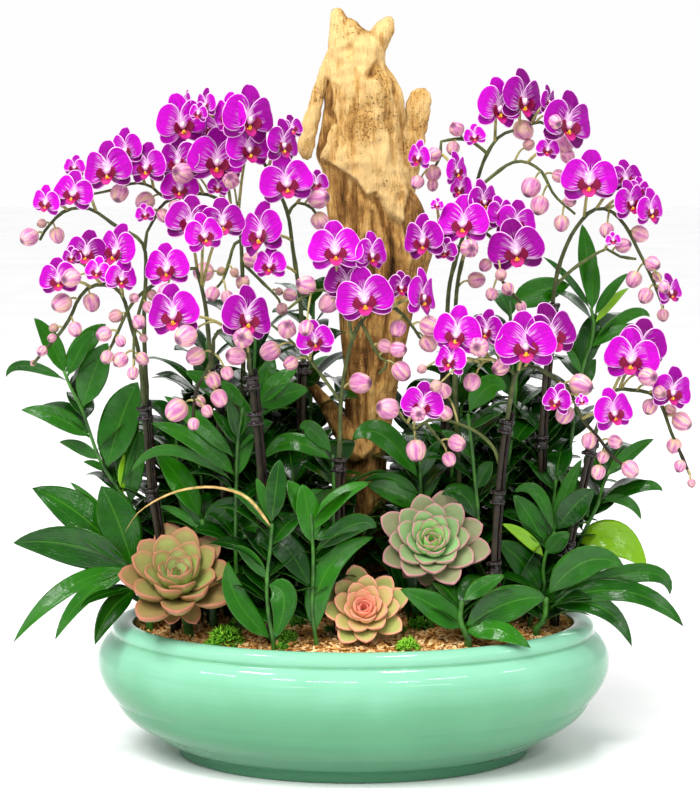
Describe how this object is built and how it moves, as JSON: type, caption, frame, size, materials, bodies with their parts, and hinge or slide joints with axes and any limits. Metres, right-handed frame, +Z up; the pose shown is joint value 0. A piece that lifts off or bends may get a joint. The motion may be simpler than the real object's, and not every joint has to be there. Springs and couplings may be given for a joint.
{
  "type": "moth orchid arrangement in ceramic bowl",
  "caption": "Arching sprays of small magenta moth orchids on stakes, with leafy stems, echeverias and a driftwood trunk, planted in a low oval glazed bowl.",
  "frame": {"origin": "middle of the flat underside of the bowl", "axes": "+Z up, front towards -Y, +X to the right seen from the front"},
  "size_m": [0.5976, 0.3345, 0.6653],
  "materials": {
    "bowl_glaze": "gloss glaze",
    "bark_mix": "loose matt chips",
    "driftwood": "weathered matt",
    "echeveria_left": "waxy matt leaf",
    "echeveria_front": "waxy matt leaf",
    "echeveria_centre": "waxy matt leaf",
    "orchid_petal": "satin petal",
    "stake_lacquer": "gloss dark coating",
    "foliage": "glossy leaf"
  },
  "bodies": {
    "root": {"bowl": "bowl_glaze", "clump_centre_left": "foliage", "clump_front_right": "foliage", "clump_left": "foliage", "clump_right": "foliage", "driftwood": "driftwood", "echeveria_centre": "echeveria_centre", "echeveria_front": "echeveria_front", "echeveria_left": "echeveria_left", "leaf_stem_back_left": "foliage", "leaf_stem_back_right": "foliage", "leaf_stem_centre": "foliage", "leaf_stem_centre_left": "foliage", "leaf_stem_centre_right": "foliage", "leaf_stem_far_right": "foliage", "leaf_stem_front": "foliage", "leaf_stem_front_left": "foliage", "leaf_stem_left": "foliage", "leaf_stem_middle_right": "foliage", "leaf_stem_rear": "foliage", "leaf_stem_rear_left": "foliage", "leaf_stem_rear_right": "foliage", "leaf_stem_right": "foliage", "leaf_stem_upper_right": "foliage", "potting_mix": "bark_mix", "spray_1": "orchid_petal", "spray_10": "orchid_petal", "spray_11": "orchid_petal", "spray_12": "orchid_petal", "spray_2": "orchid_petal", "spray_3": "orchid_petal", "spray_4": "orchid_petal", "spray_5": "orchid_petal", "spray_6": "orchid_petal", "spray_7": "orchid_petal", "spray_8": "orchid_petal", "spray_9": "orchid_petal", "stake_1": "stake_lacquer", "stake_10": "stake_lacquer", "stake_11": "stake_lacquer", "stake_12": "stake_lacquer", "stake_3": "stake_lacquer", "stake_5": "stake_lacquer", "stake_6": "stake_lacquer", "stake_7": "stake_lacquer", "stake_8": "stake_lacquer"}
  },
  "joints": []
}
